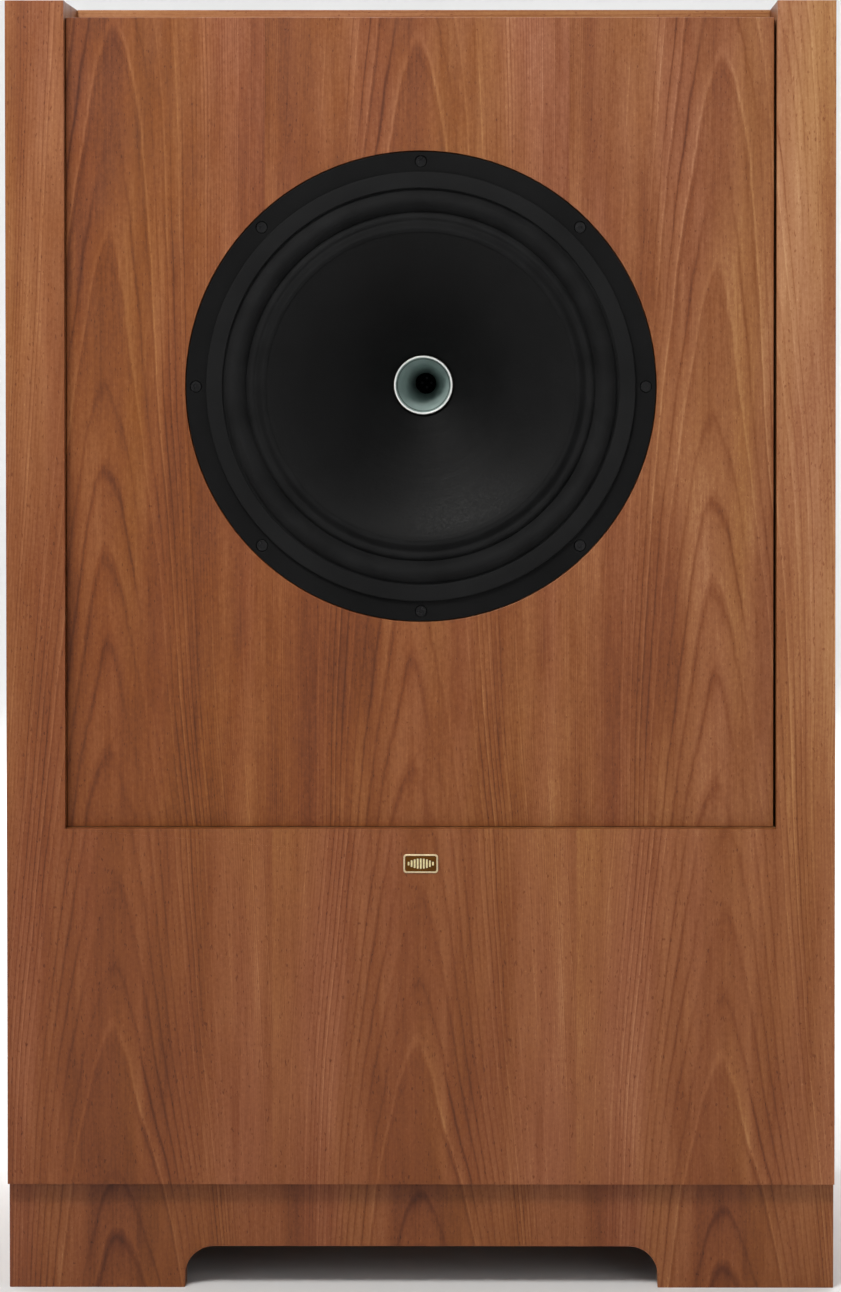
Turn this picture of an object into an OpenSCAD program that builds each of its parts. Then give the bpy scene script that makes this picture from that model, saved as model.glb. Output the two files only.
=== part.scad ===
// Floor-standing loudspeaker: a walnut-veneered sealed cabinet with one 15-inch dual-concentric
// driver. +Z is up, the front faces -Y, and the origin is the middle of the footprint on the floor.
// Every dimension is in millimetres. Inside the driver, "depth" runs along +Y from the baffle face.

/* [Cabinet] */
// Overall width
cabinet_w = 680; // [560:1:760]
// Overall height, plinth included
cabinet_h = 1060; // [1020:1:1200]
// Overall depth, badge included
cabinet_d = 440; // [420:1:560]
// Thickness of the side, top and bottom panels
panel_t = 22; // [18:1:25]
// Thickness of the screwed-on back panel
back_t = 18; // [15:1:22]
// Air gap around the removable back panel
back_gap = 1; // [0.5:0.1:2]
// Thickness of the top panel and of its front lipping
top_t = 25; // [22:1:30]
// Distance from the carcass face back to the top panel's lipping
ledge_depth = 82; // [60:1:90]
// Thickness of the solid lipping on the top panel's front edge
lipping_t = 18; // [10:1:25]

/* [Front] */
// Thickness of the U-shaped front frame, which is how far back the baffle and the plinth are set
frame_t = 11; // [9:0.5:14]
// Width of each upright of the front frame
stile_w = 48; // [40:1:70]
// Height above the floor where the recess for the baffle starts
recess_z = 381; // [340:1:400]
// Thickness of the baffle board
baffle_t = 25; // [22:1:30]
// Gap between the baffle and the frame at its left edge and its foot
baffle_gap = 0.4; // [0.3:0.1:1]
// Gap between the baffle and the frame at its right edge
baffle_side_gap = 2; // [1:0.5:3]
// Step from the stile tops down to the baffle's top edge
top_step = 13; // [8:1:16]

/* [Plinth] */
// Height of the plinth
plinth_h = 88; // [80:1:110]
// Thickness of the plinth boards
plinth_t = 18; // [15:1:22]
// Width of the cut-out in the plinth's front board
toe_w = 390; // [300:1:420]
// Height of the cut-out
toe_h = 34; // [30:1:44]
// Radius of the cut-out's upper corners
toe_r = 24; // [16:1:28]

/* [Badge] */
// Width of the badge plate
badge_w = 28.5; // [24:0.5:40]
// Height of the badge plate
badge_h = 15.5; // [13:0.5:20]
// How far the badge stands proud of the front frame
badge_proud = 1; // [0.6:0.1:1.5]
// Height of the badge's middle above the floor
badge_z = 352.5; // [340:0.5:360]

/* [Driver front] */
// Height of the driver's axis above the floor
driver_z = 744; // [730:1:760]
// Radius of the chassis flange
flange_r = 193; // [190:0.5:196]
// Thickness of the chassis flange, which lies flush in the baffle
flange_t = 6; // [5:0.5:8]
// Radius of the circle of mounting bolts
bolt_circle_r = 185; // [183:0.5:187]
// Number of mounting bolts
bolt_count = 8; // [4:1:12]
// Outer radius of the clamping ring over the surround
ring_outer_r = 176.5; // [175:0.5:178]
// Inner radius of the clamping ring
ring_inner_r = 163; // [162.5:0.1:164]
// Radius where the surround's outer roll begins
roll_outer_r = 161.8; // [160:0.1:162.2]
// Radius of the valley inside the roll
valley_r = 143.6; // [142:0.2:145]
// Depth of that valley behind the baffle face
valley_depth = 1.4; // [0.8:0.1:1.8]
// Radius of the cone's edge, where the surround's inner lip has its crest
cone_edge_r = 129.8; // [129:0.2:131]
// Height of the roll above its foot
roll_height = 6.5; // [5:0.1:8]

/* [Low-frequency motor] */
// Depth of the cone's edge behind the baffle face, negative when it stands in front
cone_edge_depth = -3; // [-4:0.5:0]
// Depth of the cone's neck
cone_neck_depth = 72; // [66:1:76]
// How strongly the cone's profile curves, 1 being straight
cone_curve = 1.35; // [1.1:0.05:1.5]
// Outer radius of the magnet's pole piece and of the horn's mouth
pole_r = 24.6; // [24:0.1:25]
// Inner radius of the low-frequency coil former
former_r = 25; // [24.8:0.05:25.4]
// Inner radius of the low-frequency top plate's gap
gap_r = 26.6; // [26.4:0.1:27]
// Radius of the low-frequency magnet ring
magnet_r = 95; // [88:1:100]

/* [High-frequency unit] */
// Depth of the horn's mouth
horn_mouth_depth = 69; // [66:0.5:70]
// Inner radius of the horn's mouth
horn_mouth_r = 23.4; // [22:0.1:23.8]
// Inner radius of the horn's throat
horn_throat_r = 9; // [8:0.5:10]
// Outer radius of the high-frequency magnet and plates
hf_motor_r = 60; // [55:1:65]
// Rise of the high-frequency dome above its rim
hf_dome_rise = 8; // [6:0.5:10]

/* [Terminals] */
// Height of the terminal cup's middle above the floor
cup_z = 240; // [200:1:300]
// Width of the cup's recess
cup_w = 116; // [100:1:140]
// Height of the cup's recess
cup_h = 84; // [70:1:110]
// Depth of the cup's recess
cup_depth = 45; // [42:1:55]
// Distance between the two binding posts
post_spacing = 44; // [38:1:60]
// Radius of the socket for a 4 mm plug in each post
socket_r = 2; // [1.95:0.05:2.1]
// Length of the plug socket
socket_length = 20; // [16:1:24]

/* [Hidden] */
$fn = 64;

half_w = cabinet_w / 2;
front_y = -cabinet_d / 2 + badge_proud;
back_y = cabinet_d / 2;
face_y = front_y + frame_t;
inner_half_w = half_w - panel_t;
opening_half_w = half_w - stile_w;
floor_z = plinth_h + panel_t;
ceiling_z = cabinet_h - top_t;
baffle_top_z = cabinet_h - top_step;
lipping_y = face_y + ledge_depth;
top_y = lipping_y + lipping_t;
back_inner_y = back_y - back_t;
cleat_s = 24;
brace_y = 70;
brace_s = 40;
brace_low_z = 500;
brace_high_z = 930;
cut = 1;
veneer = "sienna";
board = "burlywood";
steel = "silver";

// Screws around the back panel, as [x, z] places
screw_edge = 11;
screw_x = inner_half_w - screw_edge;
screw_rows = 5;
back_low_z = floor_z + back_gap;
back_high_z = ceiling_z - back_gap;
back_screw_places = concat(
    [for (sx = [-1, 1], i = [0 : screw_rows - 1])
        [sx * screw_x, back_low_z + screw_edge
            + i * (back_high_z - back_low_z - 2 * screw_edge) / (screw_rows - 1)]],
    [for (sx = [-1, 1], z = [back_low_z + screw_edge, back_high_z - screw_edge])
        [sx * screw_x / 3, z]]
);
back_screw_r = 2.4;
back_screw_length = 36;

// Felt linings: thickness, and where each pad starts and ends
lining_t = 20;
side_pad_y = [-80, 160];
side_pads_z = [[150, brace_low_z - 20], [brace_low_z + brace_s + 20, brace_high_z - 20]];
back_pad_half_w = 280;
back_pad_z = [320, 1000];

// Badge
badge_pocket = 2;
badge_corner_r = 2.5;
badge_rim = 1.4;
badge_field_depth = 0.8;
badge_bar_w = 1.2;
badge_bar_pitch = 3;
badge_bar_h = 6.4;

// Parts of the driver, as depths behind the baffle's face
t_nut_barrel_r = 3.4;
bolt_r = 2.5;
bolt_head_r = 4.2;
bolt_pocket_r = 4.9;
bolt_length = 34;
foot_t = 0.8;
foot_outer_r = 172;
ring_t = 2.5;
gasket_t = 1.5;
rebate_r = flange_r + 0.8;
cutout_r = 175;
basket_depth = 98;
basket_plate_t = 8;
top_plate_depth = basket_depth + basket_plate_t;
top_plate_t = 12;
magnet_depth = top_plate_depth + top_plate_t;
magnet_t = 25;
back_plate_depth = magnet_depth + magnet_t;
back_plate_t = 12;
pole_front_depth = top_plate_depth - 2;
hf_magnet_depth = back_plate_depth + back_plate_t;
hf_magnet_t = 20;
hf_plate_depth = hf_magnet_depth + hf_magnet_t;
hf_plate_t = 8;
hf_rear_depth = hf_plate_depth + hf_plate_t;
horn_throat_depth = back_plate_depth + 7;
horn_body_r = 19.4;
horn_growth = ln(horn_mouth_r / horn_throat_r) / (horn_throat_depth - horn_mouth_depth);
former_t = 0.3;
coil_outer_r = 26.2;
neck_r = former_r + former_t;
paper_t = 1.6;
lip_gap = 0.3;
lip_w = 2.6;
crest_height = -cone_edge_depth + lip_gap + foot_t;
shelf_w = 7;
shelf_bulge = 0.9;
shelf_depth = -0.6;
shelf_r = valley_r - shelf_w;
spider_depth = 84;
spider_r = 76;
cover_depth = hf_rear_depth + 28;
cover_screw_r = 55.5;
screw_head_t = 3;

// High-frequency diaphragm
hf_coil_r = 25;
hf_dome_rim_depth = hf_rear_depth + 1.2;
hf_dome_r = (pow(hf_coil_r, 2) + pow(hf_dome_rise, 2)) / (2 * hf_dome_rise);
hf_dome_centre = hf_dome_rim_depth + hf_dome_rise - hf_dome_r;
dome_t = 0.4;

// Binding posts, as distances along Y from the cup's floor
cup_wall = 3;
cup_lip = 15;
cup_floor_y = back_y - cup_depth;
post_base_t = 4;
stud_r = 4;
stud_length = 26;
insert_r = 6.2;
insert_clearance = 0.3;
cap_r = 9.5;
cap_length = 25;
cap_start = post_base_t + 0.4;
cap_nose_t = 3.5;
cup_screw_r = 1.8;

// Crossover
board_t = 9;
board_size = [240, 150, board_t];
board_y = 10;
board_top_z = floor_z + board_t;
inductor_r = 34;
inductor_h = 26;
capacitor_r = 15;
capacitor_length = 52;
terminal_strip_z = driver_z - 111;
tag_x = [-24, -8, 8, 24];
strip_depth = top_plate_depth - 3;
wire_r = 1.8;
tail_y = cup_floor_y - 14;

// ---------- helpers ----------

// A box given by its lowest and highest corners
module block(low, high) {
    translate(low) cube(high - low);
}

// A mirrored pair of whatever is drawn on the right
module both_sides() {
    children();
    mirror([1, 0, 0]) children();
}

// Puts the children on the driver's axis: their Z is depth behind the baffle's face
module on_axis() {
    translate([0, face_y, driver_z]) rotate([-90, 0, 0]) children();
}

// A flat ring between two depths
module ring(outer_r, inner_r, start, end, sides = 96) {
    translate([0, 0, start]) difference() {
        cylinder(r = outer_r, h = end - start, $fn = sides);
        translate([0, 0, -cut]) cylinder(r = inner_r, h = end - start + 2 * cut, $fn = sides);
    }
}

// Copies the children round the axis
module around(count, radius, first = 0) {
    for (i = [0 : count - 1]) {
        rotate([0, 0, first + i * 360 / count]) translate([radius, 0, 0]) children();
    }
}

// A box with four rounded edges along Y, centred on X and Z
module rounded_block(w, h, y0, y1, r) {
    difference() {
        block([-w / 2, y0, -h / 2], [w / 2, y1, h / 2]);
        for (sx = [-1, 1], sz = [-1, 1]) {
            translate([sx * (w / 2 - r), y0, sz * (h / 2 - r)]) corner_waste(sx, sz, r, y1 - y0);
        }
    }
}

// What a rounded corner takes off a square one
module corner_waste(sx, sz, r, length) {
    difference() {
        translate([sx > 0 ? 0 : -2 * r, -cut, sz > 0 ? 0 : -2 * r])
            cube([2 * r, length + 2 * cut, 2 * r]);
        rotate([-90, 0, 0]) translate([0, 0, -2 * cut])
            cylinder(r = r, h = length + 4 * cut, $fn = 48);
    }
}

// A round hole or rod along +Y from a point
module rod_y(at, r, length, sides = 32) {
    translate(at) rotate([-90, 0, 0]) cylinder(r = r, h = length, $fn = sides);
}

// A countersunk screw along -Y whose head is flush with the plane y
module back_screw(x, y, z, length, r) {
    head = 2 * r;
    translate([x, y, z]) rotate([90, 0, 0]) {
        difference() {
            cylinder(r1 = head, r2 = r, h = r, $fn = 32);
            translate([0, 0, -cut]) cylinder(r = r * 0.7, h = cut + r * 0.6, $fn = 6);
        }
        translate([0, 0, r]) cylinder(r = r, h = length - r, $fn = 32);
    }
}

// The hole that back_screw fits
module back_screw_hole(x, y, z, length, r) {
    translate([x, y, z]) rotate([90, 0, 0]) {
        cylinder(r1 = 2 * r, r2 = r, h = r, $fn = 32);
        translate([0, 0, -cut]) cylinder(r = 2 * r, h = cut, $fn = 32);
        cylinder(r = r, h = length, $fn = 32);
    }
}

// A round wire swept along a list of points
module wire(points, r) {
    sides = 8;
    count = len(points);
    function direction(i) = points[min(i + 1, count - 1)] - points[max(i - 1, 0)];
    function unit(v) = v / norm(v);
    function side(i) = unit(cross(direction(i), [1, 0.001, 0]));
    function lift(i) = unit(cross(side(i), direction(i)));
    function vertex(i, k) = points[i] + r * (cos(360 * k / sides) * side(i)
        + sin(360 * k / sides) * lift(i));
    vertices = [for (i = [0 : count - 1], k = [0 : sides - 1]) vertex(i, k)];
    walls = [for (i = [0 : count - 2], k = [0 : sides - 1])
        [i * sides + k, i * sides + (k + 1) % sides,
        (i + 1) * sides + (k + 1) % sides, (i + 1) * sides + k]];
    first_end = [for (k = [sides - 1 : -1 : 0]) k];
    last_end = [for (k = [0 : sides - 1]) (count - 1) * sides + k];
    polyhedron(points = vertices, faces = concat(walls, [first_end, last_end]), convexity = 8);
}

// A smooth curve through four control points
function bezier(a, b, c, d, steps) = [for (i = [0 : steps]) let (t = i / steps, u = 1 - t)
    u * u * u * a + 3 * u * u * t * b + 3 * u * t * t * c + t * t * t * d];

// ---------- cabinet ----------

module front_frame() {
    color(veneer) difference() {
        block([-half_w, front_y, plinth_h], [half_w, face_y, cabinet_h]);
        block([-opening_half_w, front_y - cut, recess_z],
            [opening_half_w, face_y + cut, cabinet_h + cut]);
        translate([0, front_y - cut, badge_z])
            rounded_block(badge_w, badge_h, 0, cut + badge_pocket, badge_corner_r);
    }
}

module side_panel() {
    color(veneer) block([inner_half_w, face_y, plinth_h], [half_w, back_y, cabinet_h]);
}

module top_panel() {
    color(veneer) block([-inner_half_w, top_y, ceiling_z], [inner_half_w, back_y, cabinet_h]);
}

module top_lipping() {
    color("peru") block([-opening_half_w, lipping_y, ceiling_z],
        [opening_half_w, top_y, cabinet_h]);
}

module post() {
    color(veneer) block([opening_half_w, face_y, floor_z], [inner_half_w, top_y, cabinet_h]);
}

module top_ledge() {
    color(veneer) block([-opening_half_w, face_y + baffle_t, baffle_top_z - panel_t],
        [opening_half_w, lipping_y, baffle_top_z]);
}

module bottom_panel() {
    color(board) block([-inner_half_w, face_y, plinth_h], [inner_half_w, back_y, floor_z]);
}

module back_panel() {
    color(veneer) difference() {
        block([-inner_half_w + back_gap, back_inner_y, back_low_z],
            [inner_half_w - back_gap, back_y, back_high_z]);
        for (p = back_screw_places) {
            back_screw_hole(p[0], back_y, p[1], back_t + cut, back_screw_r);
        }
        translate([0, 0, cup_z]) {
            block([-cup_w / 2 - cup_wall, back_inner_y - cut, -cup_h / 2 - cup_wall],
                [cup_w / 2 + cup_wall, back_y + cut, cup_h / 2 + cup_wall]);
            rounded_block(cup_w + 2 * cup_lip, cup_h + 2 * cup_lip, back_y - cup_wall,
                back_y + cut, 8);
            cup_screw_places() rod_y([0, back_inner_y - cut, 0], cup_screw_r, back_t);
        }
    }
}

module back_cleats() {
    cleat_front = back_inner_y - cleat_s;
    color(board) difference() {
        union() {
            both_sides() block([inner_half_w - cleat_s, cleat_front, floor_z],
                [inner_half_w, back_inner_y, ceiling_z]);
            for (z = [floor_z, ceiling_z - cleat_s]) {
                block([-inner_half_w + cleat_s, cleat_front, z],
                    [inner_half_w - cleat_s, back_inner_y, z + cleat_s]);
            }
        }
        for (p = back_screw_places) {
            rod_y([p[0], back_y - back_screw_length, p[1]], back_screw_r, back_screw_length);
        }
    }
}

module back_screws() {
    color(steel) for (p = back_screw_places) {
        back_screw(p[0], back_y, p[1], back_screw_length, back_screw_r);
    }
}

module baffle() {
    color(veneer) difference() {
        block([-opening_half_w + baffle_gap, face_y, recess_z + baffle_gap],
            [opening_half_w - baffle_side_gap, face_y + baffle_t, baffle_top_z]);
        on_axis() {
            translate([0, 0, -cut]) cylinder(r = cutout_r, h = baffle_t + 2 * cut, $fn = 128);
            translate([0, 0, -cut])
                cylinder(r = rebate_r, h = flange_t + gasket_t + cut, $fn = 128);
            around(bolt_count, bolt_circle_r) cylinder(r = t_nut_barrel_r, h = baffle_t + cut);
        }
    }
}

module baffle_cleats() {
    behind = face_y + baffle_t;
    rail_low = recess_z - cleat_s;
    rail_high = recess_z + cleat_s;
    color(board) {
        both_sides() block([opening_half_w - cleat_s, behind, rail_low],
            [opening_half_w, behind + cleat_s, baffle_top_z - panel_t]);
        block([-opening_half_w + cleat_s, behind, rail_low],
            [opening_half_w - cleat_s, behind + cleat_s, rail_high]);
    }
}

module lower_panel() {
    color(board) block([-opening_half_w, face_y, floor_z],
        [opening_half_w, face_y + baffle_t, recess_z]);
}

module cross_braces() {
    color(board) for (z = [brace_low_z, brace_high_z]) {
        block([-inner_half_w, brace_y, z], [inner_half_w, brace_y + brace_s, z + brace_s]);
    }
}

module plinth_front() {
    plinth_y1 = face_y + plinth_t;
    color(veneer) difference() {
        block([-half_w, face_y, 0], [half_w, plinth_y1, plinth_h]);
        translate([0, 0, toe_h / 2 - toe_r])
            rounded_block(toe_w, toe_h + 2 * toe_r, face_y - cut, plinth_y1 + cut, toe_r);
    }
}

module plinth_side() {
    color(veneer) block([half_w - plinth_t, face_y + plinth_t, 0], [half_w, back_y, plinth_h]);
}

module plinth_back() {
    color(veneer) block([-half_w + plinth_t, back_y - plinth_t, 0],
        [half_w - plinth_t, back_y, plinth_h]);
}

module plinth_blocks() {
    inner_x = half_w - plinth_t;
    block_s = 40;
    lift = 6;
    color(board) both_sides() for (y = [face_y + plinth_t, back_y - plinth_t - block_s]) {
        block([inner_x - block_s, y, lift], [inner_x, y + block_s, plinth_h]);
    }
}

module side_lining() {
    color("dimgray") both_sides() for (z = side_pads_z) {
        block([inner_half_w - lining_t, side_pad_y[0], z[0]], [inner_half_w, side_pad_y[1], z[1]]);
    }
}

module back_lining() {
    color("dimgray") block([-back_pad_half_w, back_inner_y - lining_t, back_pad_z[0]],
        [back_pad_half_w, back_inner_y, back_pad_z[1]]);
}

// ---------- badge ----------

module badge_plate() {
    plate_y0 = front_y - badge_proud;
    field_y = plate_y0 + badge_field_depth;
    color("goldenrod") translate([0, 0, badge_z]) {
        difference() {
            rounded_block(badge_w, badge_h, plate_y0, front_y + badge_pocket, badge_corner_r);
            rounded_block(badge_w - 2 * badge_rim, badge_h - 2 * badge_rim, plate_y0 - cut,
                field_y, badge_corner_r - badge_rim / 2);
        }
        for (i = [-3 : 3]) {
            bar_h = badge_bar_h * (1 - abs(i) * 0.19);
            block([i * badge_bar_pitch - badge_bar_w / 2, field_y - 0.5, -bar_h / 2],
                [i * badge_bar_pitch + badge_bar_w / 2, field_y + 0.3, bar_h / 2]);
        }
    }
}

// ---------- driver: fixed parts ----------

module basket_wall() {
    rotate_extrude($fn = 96) polygon([
        [166, flange_t / 2], [172, flange_t / 2], [172, 26], [98, 95], [98, basket_depth + cut],
        [90, basket_depth + cut], [90, 92], [166, 22]
    ]);
}

module basket_window() {
    linear_extrude(height = basket_depth - 25)
        polygon([[100, -29], [161, -51], [161, 51], [100, 29]]);
}

module chassis() {
    color("#1c1c1e") on_axis() difference() {
        union() {
            ring(flange_r, 163, 0, flange_t, 192);
            difference() {
                basket_wall();
                around(bolt_count, 0, 22.5) translate([0, 0, 23]) basket_window();
            }
            ring(98, 40, basket_depth, top_plate_depth);
            ring(spider_r + 3, spider_r - 6, spider_depth, basket_depth + cut);
            translate([-36, 90, basket_depth]) cube([72, 34, 5]);
        }
        around(bolt_count, bolt_circle_r) {
            translate([0, 0, -cut]) cylinder(r = bolt_pocket_r, h = screw_head_t + cut);
            cylinder(r = bolt_r + 0.3, h = flange_t + cut);
        }
    }
}

module chassis_gasket() {
    color("black") on_axis() difference() {
        ring(flange_r - 0.5, cutout_r + 1, flange_t, flange_t + gasket_t);
        around(bolt_count, bolt_circle_r) cylinder(r = bolt_r + 0.5, h = flange_t + gasket_t + cut);
    }
}

module surround_ring() {
    color("#202022") on_axis() rotate_extrude($fn = 192) polygon([
        [ring_inner_r, -foot_t], [ring_inner_r, -foot_t - ring_t + 0.6],
        [ring_inner_r + 0.6, -foot_t - ring_t], [ring_outer_r - 0.8, -foot_t - ring_t],
        [ring_outer_r, -foot_t - ring_t + 0.8], [ring_outer_r, 0],
        [foot_outer_r + 0.3, 0], [foot_outer_r + 0.3, -foot_t]
    ]);
}

module driver_bolts() {
    color("#2a2a2c") on_axis() around(bolt_count, bolt_circle_r) {
        difference() {
            cylinder(r = bolt_head_r, h = screw_head_t);
            translate([0, 0, -cut]) cylinder(r = 2.3, h = cut + 2, $fn = 6);
        }
        translate([0, 0, screw_head_t]) cylinder(r = bolt_r, h = bolt_length, $fn = 32);
    }
}

module t_nuts() {
    barrel_start = 14;
    color(steel) on_axis() around(bolt_count, bolt_circle_r) {
        ring(t_nut_barrel_r, bolt_r, barrel_start, baffle_t, 32);
        ring(9, bolt_r, baffle_t, baffle_t + 1.5, 32);
    }
}

module top_plate() {
    color(steel) on_axis() ring(85, gap_r, top_plate_depth, magnet_depth);
}

module lf_magnet() {
    color("#2b2b2b") on_axis() ring(magnet_r, 45, magnet_depth, back_plate_depth);
}

module back_plate() {
    bore_r = horn_body_r + 0.1;
    plate_rear = hf_magnet_depth;
    color(steel) on_axis() rotate_extrude($fn = 96) polygon([
        [bore_r, pole_front_depth], [pole_r, pole_front_depth], [pole_r, back_plate_depth],
        [88, back_plate_depth], [88, plate_rear], [horn_throat_r + 0.5, plate_rear],
        [horn_throat_r + 0.5, horn_throat_depth], [bore_r, horn_throat_depth]
    ]);
}

// Inner radius of the horn at a depth
function horn_r(depth) = horn_throat_r * exp(horn_growth * (horn_throat_depth - depth));

module hf_horn() {
    steps = 16;
    span = horn_throat_depth - horn_mouth_depth;
    color("#9fb3ad") on_axis() rotate_extrude($fn = 96) polygon(concat(
        [for (i = [0 : steps]) let (d = horn_throat_depth - span * i / steps) [horn_r(d), d]],
        [
            [horn_mouth_r + 0.5, horn_mouth_depth - 0.4], [pole_r - 0.3, horn_mouth_depth - 0.4],
            [pole_r, horn_mouth_depth], [pole_r, pole_front_depth],
            [horn_body_r, pole_front_depth], [horn_body_r, horn_throat_depth]
        ]
    ));
}

module hf_pole() {
    color(steel) on_axis() difference() {
        ring(pole_r, horn_throat_r + 0.5, hf_magnet_depth, hf_rear_depth);
        translate([0, 0, hf_rear_depth - 10]) cylinder(r = 20, h = 10 + cut);
    }
}

module phase_plug() {
    plug_r = 19.9;
    plug_gap = 1;
    start = hf_rear_depth - 10;
    color("gold") on_axis() difference() {
        intersection() {
            translate([0, 0, start]) cylinder(r = plug_r, h = 30);
            translate([0, 0, hf_dome_centre]) sphere(r = hf_dome_r - plug_gap, $fn = 96);
        }
        for (row = [[4, 4], [8, 10], [12, 16]]) {
            around(row[0], row[1]) translate([0, 0, start - cut]) cylinder(r = 1.2, h = 40, $fn = 16);
        }
        translate([0, 0, start - cut]) cylinder(r1 = 18, r2 = 1, h = 9, $fn = 48);
    }
}

module hf_magnet() {
    color("#2b2b2b") on_axis() ring(hf_motor_r, 34, hf_magnet_depth, hf_plate_depth);
}

module hf_top_plate() {
    color(steel) on_axis() difference() {
        ring(hf_motor_r, 26.1, hf_plate_depth, hf_rear_depth);
        around(3, cover_screw_r) translate([0, 0, hf_plate_depth - cut])
            cylinder(r = 2, h = hf_plate_t + 2 * cut, $fn = 32);
    }
}

module hf_mount_ring() {
    color("#8a8f94") on_axis() {
        ring(48, 34, hf_rear_depth, hf_rear_depth + 2.4);
        ring(34, 28.4, hf_dome_rim_depth, hf_dome_rim_depth + dome_t);
    }
}

module rear_cover() {
    wall_r = 51;
    end_t = 4;
    color("#1a1a1c") on_axis() difference() {
        translate([0, 0, hf_rear_depth])
            cylinder(r = hf_motor_r, h = cover_depth - hf_rear_depth, $fn = 96);
        translate([0, 0, hf_rear_depth - cut])
            cylinder(r = wall_r, h = cover_depth - hf_rear_depth - end_t + cut, $fn = 96);
        around(3, cover_screw_r) translate([0, 0, hf_rear_depth - cut])
            cylinder(r = 2, h = cover_depth - hf_rear_depth + 2 * cut, $fn = 32);
    }
}

module cover_screws() {
    color(steel) on_axis() around(3, cover_screw_r) {
        translate([0, 0, cover_depth]) difference() {
            cylinder(r = 3.8, h = 2.6, $fn = 32);
            translate([0, 0, 1]) cylinder(r = 1.8, h = 2, $fn = 6);
        }
        translate([0, 0, hf_plate_depth]) cylinder(r = 2, h = cover_depth - hf_plate_depth, $fn = 32);
    }
}

module driver_terminals() {
    strip_y = face_y + strip_depth;
    color("saddlebrown") block([-33, strip_y, terminal_strip_z - 10],
        [33, strip_y + 8, terminal_strip_z + 10]);
    color("gold") for (x = tag_x) {
        block([x - 3, strip_y + 8, terminal_strip_z - 14], [x + 3, strip_y + 9, terminal_strip_z + 6]);
    }
}

// ---------- driver: moving parts ----------

// Depth of the cone's front surface at a radius
function cone_depth(r) = cone_edge_depth + (cone_neck_depth - cone_edge_depth)
    * pow(1 - (r - neck_r) / (cone_edge_r - neck_r), cone_curve);

module cone() {
    steps = 24;
    function radius(i) = neck_r + (cone_edge_r - neck_r) * i / steps;
    color("#19191b") on_axis() rotate_extrude($fn = 128) polygon(concat(
        [for (i = [0 : steps]) [radius(i), cone_depth(radius(i))]],
        [for (i = [steps : -1 : 0]) [radius(i), cone_depth(radius(i)) + paper_t]]
    ));
}

module coil_former() {
    color("tan") on_axis()
        ring(neck_r, former_r, cone_neck_depth - 1, top_plate_depth + top_plate_t + 4);
}

module lf_coil() {
    overhang = 3;
    color("#b5651d") on_axis()
        ring(coil_outer_r, neck_r, top_plate_depth - overhang, magnet_depth + overhang);
}

// Front surface of the surround: a gentle fall from the lip's crest, a low bead, then the roll
function surround_depth(r) =
    r < shelf_r
    ? let (s = (r - cone_edge_r) / (shelf_r - cone_edge_r))
        shelf_depth - (shelf_depth + crest_height) * (1 + cos(180 * s)) / 2
    : r < valley_r
    ? let (s = (r - shelf_r) / shelf_w)
        shelf_depth + (valley_depth - shelf_depth) * pow(s, 3) - shelf_bulge * sin(180 * s)
    : let (s = (r - valley_r) / (roll_outer_r - valley_r))
        valley_depth * (1 - s) - foot_t * s - roll_height * pow(sin(180 * s), 0.85);

module surround() {
    lip_r = cone_edge_r - lip_w;
    step_radii = [for (i = [0 : 5]) cone_edge_r + (shelf_r - cone_edge_r) * i / 6];
    shelf_radii = [for (i = [0 : 6]) shelf_r + shelf_w * i / 7];
    roll_radii = [for (i = [0 : 18]) valley_r + (roll_outer_r - valley_r) * i / 18];
    radii = concat(step_radii, shelf_radii, roll_radii);
    last = len(radii) - 1;
    color("#17171a") on_axis() rotate_extrude($fn = 128) polygon(concat(
        [[lip_r, cone_depth(lip_r) - lip_gap - foot_t / 2]],
        [for (r = radii) [r, surround_depth(r)]],
        [[foot_outer_r, -foot_t], [foot_outer_r, 0]],
        [for (i = [last : -1 : 0]) [radii[i], surround_depth(radii[i]) + foot_t]],
        [[lip_r, cone_depth(lip_r) - lip_gap]]
    ));
}

module spider() {
    waves = 5;
    steps = 40;
    inner_r = neck_r + 0.3;
    cloth_t = 0.8;
    height = 1.6;
    mid = spider_depth - cloth_t - height;
    function radius(i) = inner_r + (spider_r - 4 - inner_r) * i / steps;
    function depth(i) = mid + height * cos(360 * waves * i / steps);
    color("goldenrod") on_axis() rotate_extrude($fn = 96) polygon(concat(
        [for (i = [0 : steps]) [radius(i), depth(i)]],
        [[spider_r, depth(steps)], [spider_r, depth(steps) + cloth_t]],
        [for (i = [steps : -1 : 0]) [radius(i), depth(i) + cloth_t]]
    ));
}

module hf_diaphragm() {
    skirt_t = 0.2;
    color("#c8ccd0") on_axis() {
        intersection() {
            difference() {
                translate([0, 0, hf_dome_centre]) sphere(r = hf_dome_r + dome_t, $fn = 96);
                translate([0, 0, hf_dome_centre]) sphere(r = hf_dome_r, $fn = 96);
            }
            translate([0, 0, hf_dome_rim_depth]) cylinder(r = hf_coil_r + 1, h = 20);
        }
        ring(28, hf_coil_r, hf_dome_rim_depth, hf_dome_rim_depth + dome_t);
        ring(hf_coil_r + skirt_t, hf_coil_r, hf_plate_depth + 1, hf_dome_rim_depth + dome_t);
    }
}

module hf_coil() {
    color("#b5651d") on_axis() ring(25.7, hf_coil_r + 0.2, hf_plate_depth + 1, hf_rear_depth - 1);
}

// ---------- crossover ----------

module crossover_board() {
    color(board) translate([-board_size[0] / 2, board_y, floor_z]) cube(board_size);
}

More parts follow.
